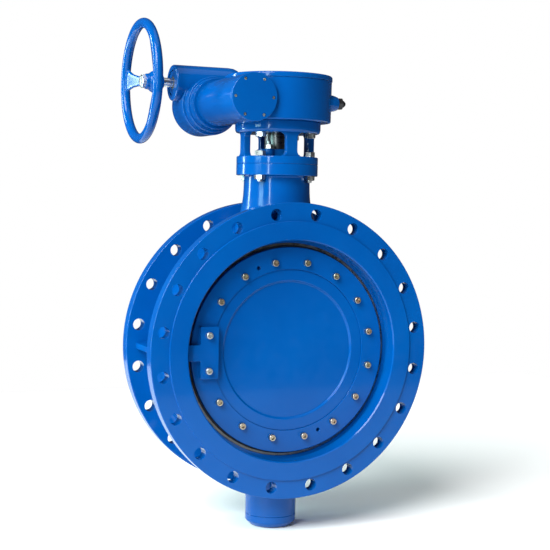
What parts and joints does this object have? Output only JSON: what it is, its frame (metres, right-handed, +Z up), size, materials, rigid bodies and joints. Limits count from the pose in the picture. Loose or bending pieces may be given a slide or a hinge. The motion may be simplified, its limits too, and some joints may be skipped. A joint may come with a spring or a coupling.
{
  "type": "butterfly valve",
  "caption": "Double-flanged, double-offset butterfly valve with a bolted seal-retaining ring, a windowed yoke and a two-stage worm gear operator turned by a handwheel.",
  "frame": {"origin": "on the pipe's axis, midway between the two flange faces, level with the stem", "axes": "+Y along the pipe, away from the face that shows the seal-retaining ring; +Z up the stem to the gear operator; +X to the right seen from the front"},
  "size_m": [0.67, 0.4705, 1.1791],
  "materials": {
    "blue_epoxy": "glossy fusion-bonded epoxy over ductile iron",
    "stainless_steel": "turned and ground",
    "dark_steel": "oiled black oxide",
    "yellow_zinc": "yellow passivated zinc plate",
    "bronze": "machined bronze",
    "seal_rubber": "moulded EPDM",
    "graphite_packing": "braided graphite"
  },
  "bodies": {
    "casing": {"valve_body": "blue_epoxy", "bottom_cover": "blue_epoxy", "gland_follower": "blue_epoxy", "mounting_yoke": "blue_epoxy", "gearbox_housing": "blue_epoxy", "gearbox_cover": "blue_epoxy", "worm_end_cover": "blue_epoxy", "first_stage_housing": "blue_epoxy", "first_stage_cover": "blue_epoxy", "body_seat_ring": "stainless_steel", "gland_stud_1": "stainless_steel", "gland_stud_2": "stainless_steel", "gland_nut_1": "stainless_steel", "gland_nut_2": "stainless_steel", "front_worm_bearing": "stainless_steel", "rear_worm_bearing": "stainless_steel", "closed_stop_screw": "dark_steel", "open_stop_screw": "dark_steel", "closed_stop_nut": "dark_steel", "open_stop_nut": "dark_steel", "upper_bush": "bronze", "lower_bush": "bronze", "thrust_washer": "bronze", "outer_input_bush": "bronze", "inner_input_bush": "bronze", "bottom_cover_seal": "seal_rubber", "gland_packing": "graphite_packing"},
    "disc_and_stem": {"disc": "blue_epoxy", "disc_seal_ring": "seal_rubber", "seal_retaining_ring": "blue_epoxy", "closing_stop": "blue_epoxy", "retaining_screw_01": "yellow_zinc", "retaining_screw_02": "yellow_zinc", "retaining_screw_03": "yellow_zinc", "retaining_screw_04": "yellow_zinc", "retaining_screw_05": "yellow_zinc", "retaining_screw_06": "yellow_zinc", "retaining_screw_07": "yellow_zinc", "retaining_screw_08": "yellow_zinc", "retaining_screw_09": "yellow_zinc", "retaining_screw_10": "yellow_zinc", "retaining_screw_11": "yellow_zinc", "retaining_screw_12": "yellow_zinc", "retaining_screw_13": "yellow_zinc", "retaining_screw_14": "yellow_zinc", "retaining_screw_15": "yellow_zinc", "retaining_screw_16": "yellow_zinc", "drive_shaft": "stainless_steel", "stub_shaft": "stainless_steel", "drive_shaft_pin": "stainless_steel", "stub_shaft_pin": "stainless_steel", "drive_key": "dark_steel", "main_worm_wheel": "bronze", "position_indicator": "stainless_steel"},
    "worm_and_wheel": {"main_worm": "dark_steel", "first_stage_wheel": "bronze"},
    "handwheel_and_input": {"input_worm": "stainless_steel", "handwheel": "blue_epoxy", "handwheel_nut": "stainless_steel"}
  },
  "joints": [
    {"name": "handwheel_turn", "type": "hinge", "parent": "casing", "child": "handwheel_and_input", "pos_m": [-0.11, 0.2, 0.6143], "axis": [-1, 0, 0], "range_deg": [0, 31500]},
    {"name": "main_worm_turn", "type": "hinge", "parent": "casing", "child": "worm_and_wheel", "pos_m": [-0.11, 0, 0.5633], "axis": [0, 1, 0], "range_deg": [0, 3150]},
    {"name": "disc_turn", "type": "hinge", "parent": "casing", "child": "disc_and_stem", "pos_m": [-0.004, 0, 0], "axis": [0, 0, 1], "range_deg": [0, 90]}
  ],
  "couplings": [
    {"joint": "main_worm_turn", "follows": "handwheel_turn", "ratio": 0.1},
    {"joint": "disc_turn", "follows": "handwheel_turn", "ratio": 0.0028571}
  ]
}
